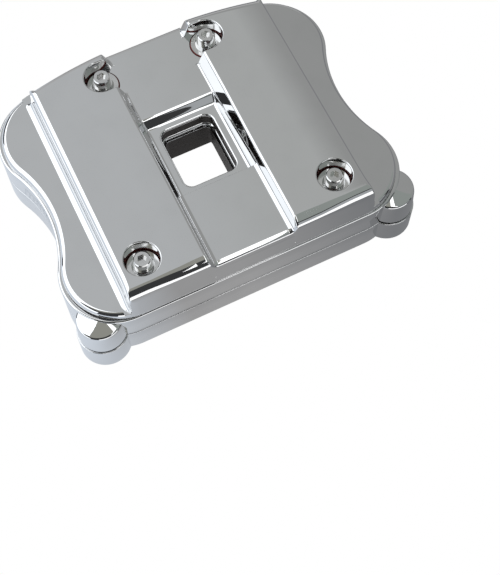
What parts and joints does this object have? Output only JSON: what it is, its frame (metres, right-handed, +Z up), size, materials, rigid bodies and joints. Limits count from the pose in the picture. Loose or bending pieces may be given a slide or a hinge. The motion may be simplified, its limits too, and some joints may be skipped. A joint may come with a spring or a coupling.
{
  "type": "valve cover",
  "caption": "Chrome-plated V-twin valve cover of stacked castings with raised side panels, a central channel with a square window, and recessed socket head screws.",
  "frame": {"origin": "centre of the part's box in x and y, on the base gasket face", "axes": "+X across the widest direction through both panels, +Y from the flat front wall with its two corner bosses to the rear wall, +Z up through the stack"},
  "size_m": [0.2112, 0.1605, 0.062],
  "materials": {
    "chrome": "mirror chrome plating over a die casting",
    "screw_steel": "zinc-bright machined steel",
    "gasket": "dark gasket sheet, matt edge",
    "fibre": "dark red vulcanised fibre, satin"
  },
  "bodies": {
    "root": {"lower_box": "chrome", "lower_gasket": "gasket", "middle_section": "chrome", "upper_gasket": "gasket", "top_cover": "chrome", "fibre_washers": "fibre", "steel_washers": "screw_steel", "cover_screws": "screw_steel"}
  },
  "joints": []
}
